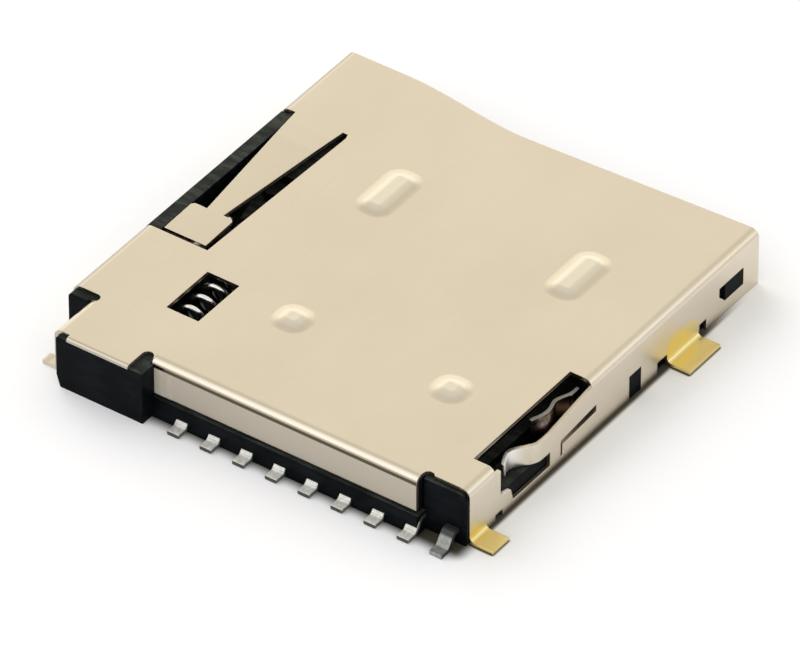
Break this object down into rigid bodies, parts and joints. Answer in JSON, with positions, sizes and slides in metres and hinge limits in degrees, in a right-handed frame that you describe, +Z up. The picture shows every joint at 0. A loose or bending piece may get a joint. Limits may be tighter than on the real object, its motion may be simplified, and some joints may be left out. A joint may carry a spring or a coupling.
{
  "type": "memory card connector",
  "caption": "Low surface-mount socket for a small memory card: folded metal shell on a black moulded housing, spring contacts and a push-in, push-out slider with heart cam and coil spring.",
  "frame": {"origin": "on the board plane, under the middle of the connector's length and width", "axes": "+X along the row of tails towards the card detect contact, +Y from the tails to the card mouth, +Z up from the board"},
  "size_m": [0.0156, 0.015, 0.002],
  "materials": {
    "housing_plastic": "fine moulded satin",
    "slider_plastic": "fine moulded satin",
    "shell_metal": "rolled stainless sheet, nickel plated, gold flash on the solder feet",
    "contact_metal": "copper alloy strip, plated, tinned tails",
    "detect_metal": "bare copper alloy strip",
    "wire_steel": "drawn spring wire"
  },
  "bodies": {
    "connector": {"housing": "housing_plastic", "shell": "shell_metal", "signal_contact_1": "contact_metal", "signal_contact_2": "contact_metal", "signal_contact_3": "contact_metal", "signal_contact_4": "contact_metal", "signal_contact_5": "contact_metal", "signal_contact_6": "contact_metal", "signal_contact_7": "contact_metal", "signal_contact_8": "contact_metal", "detect_contact": "detect_metal", "eject_spring": "wire_steel"},
    "slider": {"eject_slider": "slider_plastic"},
    "follower": {"cam_follower_rod": "wire_steel"}
  },
  "joints": [
    {"name": "slider_travel", "type": "slide", "parent": "connector", "child": "slider", "axis": [0, -1, 0], "range_m": [0, 0.0019], "stiffness_N_per_m": 300, "springref_m": -0.0008, "deforming": ["eject_spring"]},
    {"name": "follower_swing", "type": "hinge", "parent": "connector", "child": "follower", "pos_m": [-0.00556, -0.00531, 0.00146], "axis": [0, 0, 1], "range_deg": [0, 5.5]}
  ],
  "couplings": [
    {"joint": "follower_swing", "follows": "slider_travel", "rad_per_m": 49.6}
  ]
}
